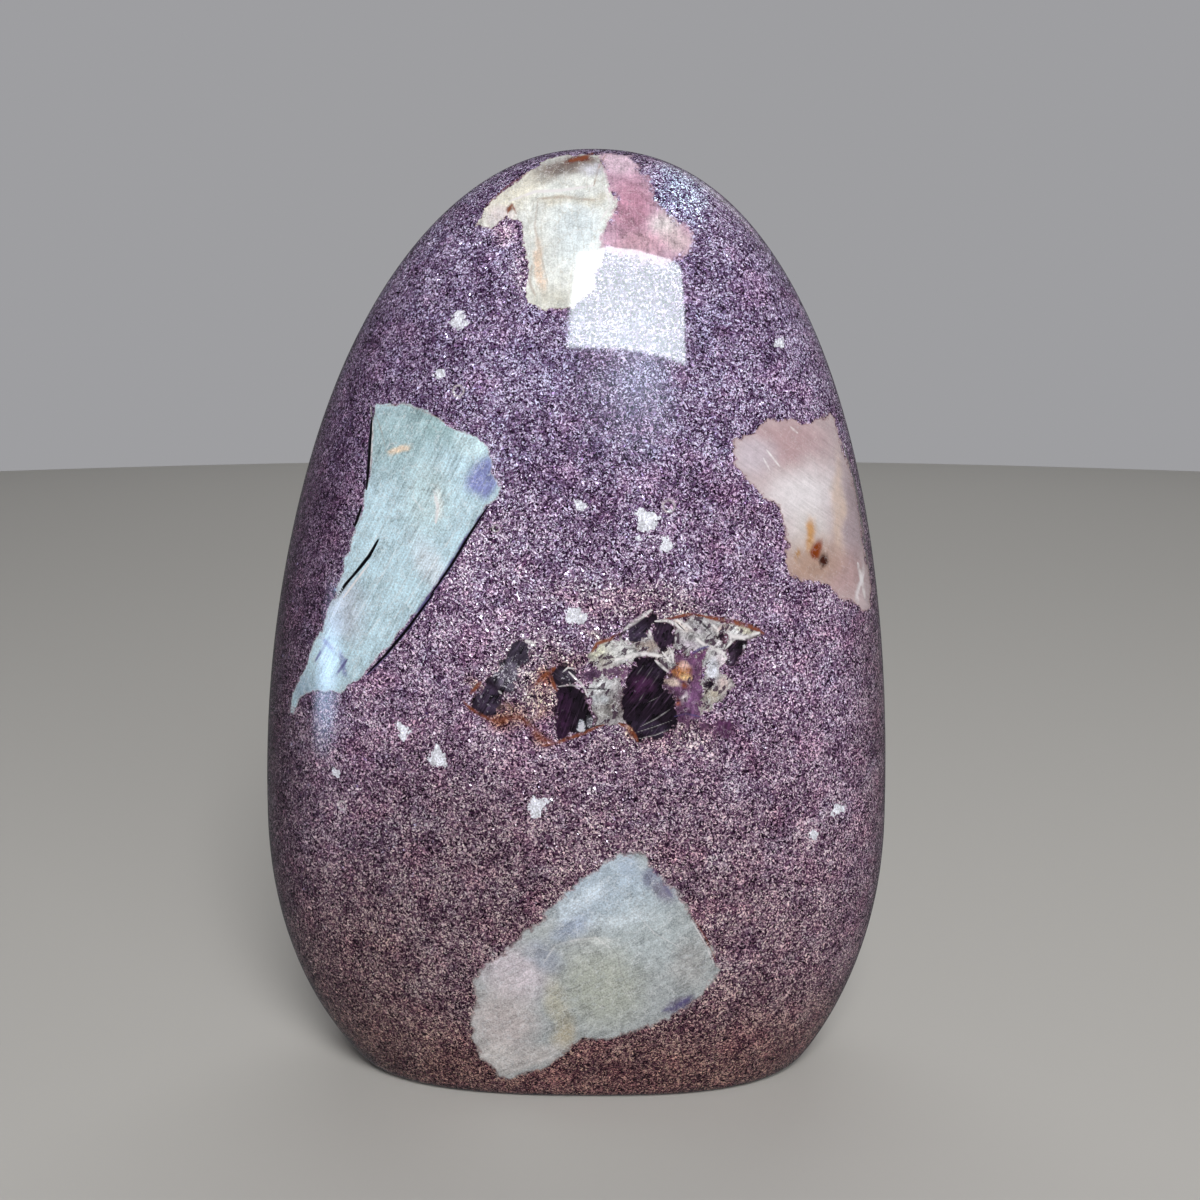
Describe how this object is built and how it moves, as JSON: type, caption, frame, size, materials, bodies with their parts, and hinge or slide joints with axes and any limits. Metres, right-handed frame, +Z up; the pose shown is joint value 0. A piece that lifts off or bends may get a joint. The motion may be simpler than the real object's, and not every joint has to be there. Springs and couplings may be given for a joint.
{
  "type": "lepidolite freeform",
  "caption": "Hand-ground, polished egg-shaped lepidolite stone, flattened front to back, that stands upright on a small flat cut at its foot.",
  "frame": {"origin": "middle of the stone's box, at the level of its flat foot", "axes": "+Z up along the stone's height, front towards -Y, +X to the right as seen from the front"},
  "size_m": [0.096, 0.0501, 0.14],
  "materials": {
    "polished_lepidolite": "high polish over fine purple mica, with pale feldspar and quartz patches"
  },
  "bodies": {
    "root": {"lepidolite_freeform": "polished_lepidolite"}
  },
  "joints": []
}
